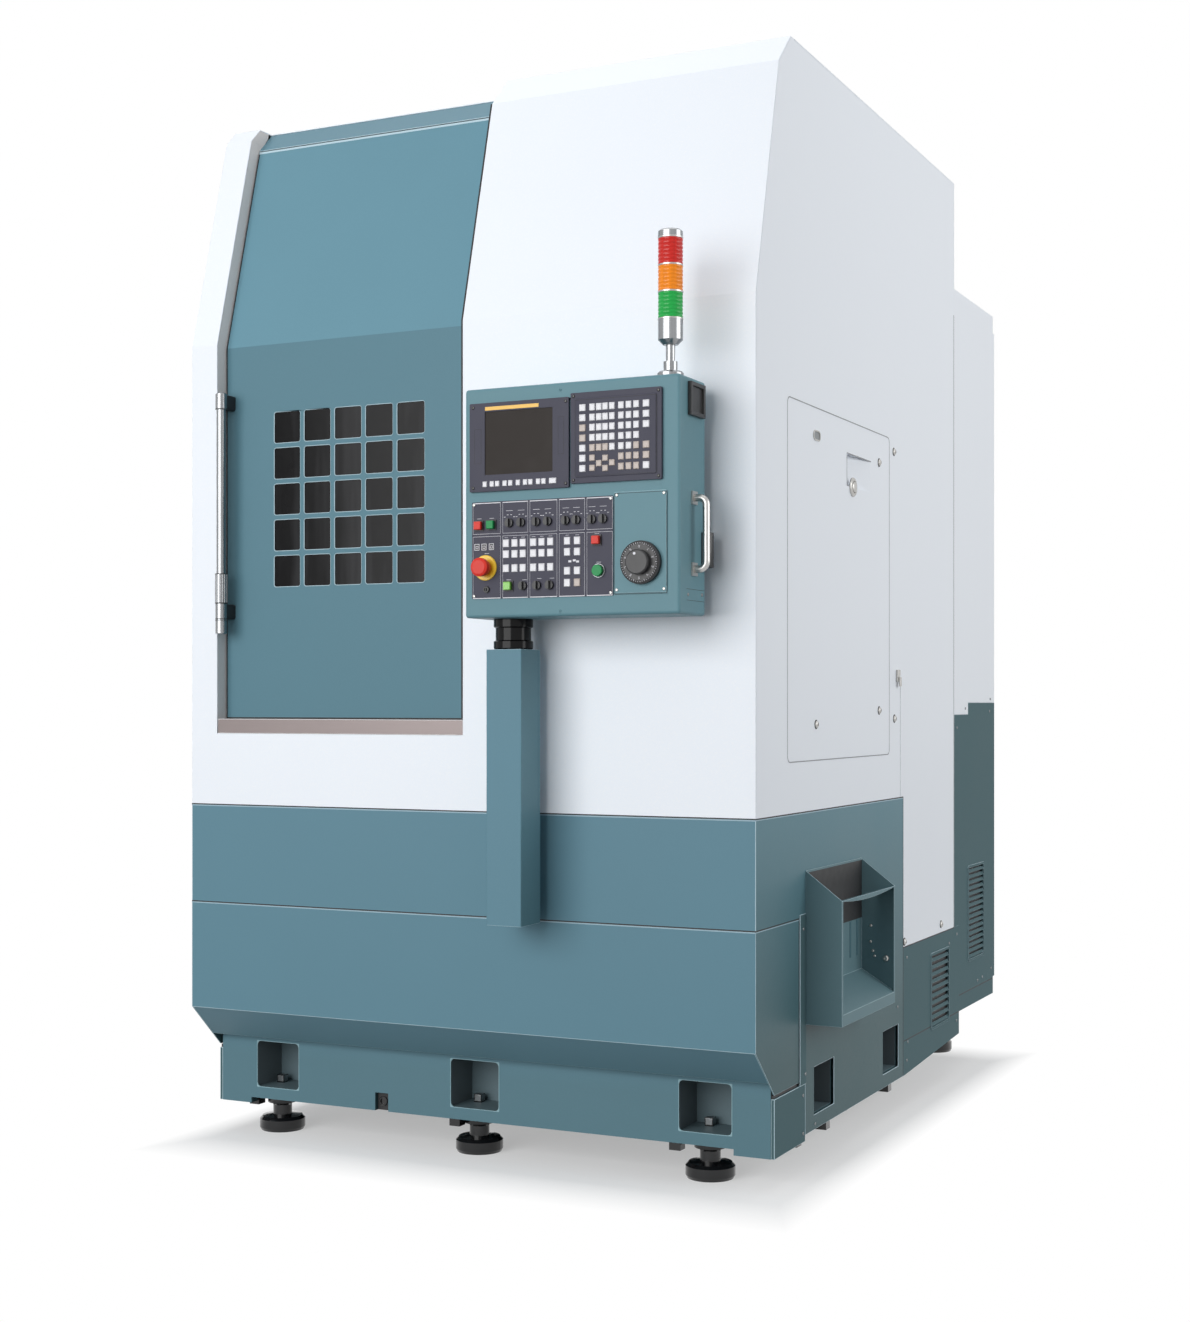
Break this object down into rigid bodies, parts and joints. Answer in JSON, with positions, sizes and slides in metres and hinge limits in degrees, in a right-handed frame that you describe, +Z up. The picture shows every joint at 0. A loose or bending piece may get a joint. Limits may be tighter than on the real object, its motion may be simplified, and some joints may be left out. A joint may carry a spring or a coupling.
{
  "type": "vertical turning lathe",
  "caption": "Enclosed vertical turning lathe with a sliding bent door, turret ram, jawed chuck, chip chute and swivelling control pendant.",
  "frame": {"origin": "on the floor, under the middle of the whole machine", "axes": "+X to the right of the front, +Y to the back, +Z up"},
  "size_m": [1.803, 2.646, 2.933],
  "materials": {
    "white_paint": "satin white paint",
    "teal_paint": "fine textured blue green paint",
    "grey_trim": "grey painted jamb",
    "sill_steel": "worn bare steel",
    "cast_grey": "painted casting",
    "machined_steel": "ground steel",
    "chuck_steel": "turned steel",
    "hard_steel": "hardened steel",
    "lining": "bare sheet steel",
    "black_steel": "gloss black",
    "chrome": "polished",
    "silver": "satin aluminium",
    "black_plastic": "black moulding",
    "panel_grey": "dark blue grey panel",
    "key_plastic": "pale key caps",
    "window_glass": "dark laminated window",
    "screen_glass": "dark anti glare screen",
    "lens_green": "ribbed lens",
    "lens_amber": "ribbed lens",
    "lens_red": "ribbed lens",
    "signal_red": "moulded",
    "signal_green": "moulded",
    "signal_yellow": "moulded"
  },
  "bodies": {
    "machine": {"base_casting": "teal_paint", "floor_fixings": "black_steel", "foot_pads": "black_steel", "front_apron": "teal_paint", "corner_covers": "teal_paint", "waist_band": "teal_paint", "chip_chute": "teal_paint", "rear_skirts": "teal_paint", "front_panel": "white_paint", "right_side_panel": "white_paint", "left_side_panel": "white_paint", "roof_panel": "white_paint", "back_panel": "white_paint", "access_cover": "white_paint", "door_frame": "grey_trim", "door_sill": "sill_steel", "door_header": "teal_paint", "rear_cabinet": "white_paint", "rear_cabinet_base": "teal_paint", "pendant_post": "teal_paint", "column": "cast_grey", "headstock": "cast_grey", "cross_rails": "machined_steel", "work_chamber": "lining"},
    "spindle": {"spindle": "machined_steel", "chuck": "chuck_steel"},
    "jaw_1": {"jaw_1": "hard_steel"},
    "jaw_2": {"jaw_2": "hard_steel"},
    "jaw_3": {"jaw_3": "hard_steel"},
    "saddle": {"saddle": "cast_grey"},
    "ram": {"ram": "machined_steel"},
    "turret": {"turret": "chuck_steel", "tool_holders": "hard_steel"},
    "door": {"door_panel": "teal_paint", "door_glass": "window_glass", "door_handle": "chrome", "handle_brackets": "black_plastic"},
    "pendant": {"pendant_neck": "black_steel", "pendant_case": "teal_paint", "screen_unit": "panel_grey", "screen_glass": "screen_glass", "key_unit": "panel_grey", "key_caps": "key_plastic", "operator_plate": "panel_grey", "wheel_plate": "teal_paint", "side_grip": "silver", "side_fittings": "black_plastic", "lamp_pole": "chrome", "lamp_green": "lens_green", "lamp_amber": "lens_amber", "lamp_red": "lens_red", "estop_ring": "signal_yellow", "selector_knobs": "black_plastic"},
    "estop": {"estop_button": "signal_red"},
    "handwheel": {"handwheel": "black_plastic"},
    "power_off": {"power_off_button": "signal_red"},
    "power_on": {"power_on_button": "signal_green"},
    "stop": {"stop_button": "signal_red"},
    "start": {"start_button": "signal_green"},
    "light": {"light_button": "signal_green"}
  },
  "joints": [
    {"name": "door_slide", "type": "slide", "parent": "machine", "child": "door", "axis": [1, 0, 0], "range_m": [0, 0.7]},
    {"name": "spindle_turn", "type": "hinge", "parent": "machine", "child": "spindle", "pos_m": [-0.3485, -0.517, 1.0603], "axis": [0, 0, 1], "continuous": true},
    {"name": "jaw_1_slide", "type": "slide", "parent": "spindle", "child": "jaw_1", "axis": [1, 0, 0], "range_m": [-0.008, 0.012]},
    {"name": "jaw_2_slide", "type": "slide", "parent": "spindle", "child": "jaw_2", "axis": [-0.5, 0.866, 0], "range_m": [-0.008, 0.012]},
    {"name": "jaw_3_slide", "type": "slide", "parent": "spindle", "child": "jaw_3", "axis": [-0.5, -0.866, 0], "range_m": [-0.008, 0.012]},
    {"name": "saddle_slide", "type": "slide", "parent": "machine", "child": "saddle", "axis": [1, 0, 0], "range_m": [-0.45, 0]},
    {"name": "ram_slide", "type": "slide", "parent": "saddle", "child": "ram", "axis": [0, 0, 1], "range_m": [-0.3, 0]},
    {"name": "turret_index", "type": "hinge", "parent": "ram", "child": "turret", "pos_m": [0.0412, -0.517, 1.7], "axis": [1, 0, 0], "continuous": true},
    {"name": "pendant_swivel", "type": "hinge", "parent": "machine", "child": "pendant", "pos_m": [0.1845, -1.1765, 1.439], "axis": [0, 0, 1], "range_deg": [-90, 0]},
    {"name": "estop_press", "type": "slide", "parent": "pendant", "child": "estop", "axis": [0, 1, 0], "range_m": [0, 0.006]},
    {"name": "handwheel_turn", "type": "hinge", "parent": "pendant", "child": "handwheel", "pos_m": [0.5905, -1.285, 1.563], "axis": [0, 1, 0], "continuous": true},
    {"name": "power_off_press", "type": "slide", "parent": "pendant", "child": "power_off", "axis": [0, 1, 0], "range_m": [0, 0.004], "stiffness_N_per_m": 400},
    {"name": "power_on_press", "type": "slide", "parent": "pendant", "child": "power_on", "axis": [0, 1, 0], "range_m": [0, 0.004], "stiffness_N_per_m": 400},
    {"name": "stop_press", "type": "slide", "parent": "pendant", "child": "stop", "axis": [0, 1, 0], "range_m": [0, 0.004], "stiffness_N_per_m": 400},
    {"name": "start_press", "type": "slide", "parent": "pendant", "child": "start", "axis": [0, 1, 0], "range_m": [0, 0.004], "stiffness_N_per_m": 400},
    {"name": "light_press", "type": "slide", "parent": "pendant", "child": "light", "axis": [0, 1, 0], "range_m": [0, 0.004], "stiffness_N_per_m": 400}
  ],
  "couplings": [
    {"joint": "jaw_2_slide", "follows": "jaw_1_slide", "ratio": 1},
    {"joint": "jaw_3_slide", "follows": "jaw_1_slide", "ratio": 1}
  ]
}
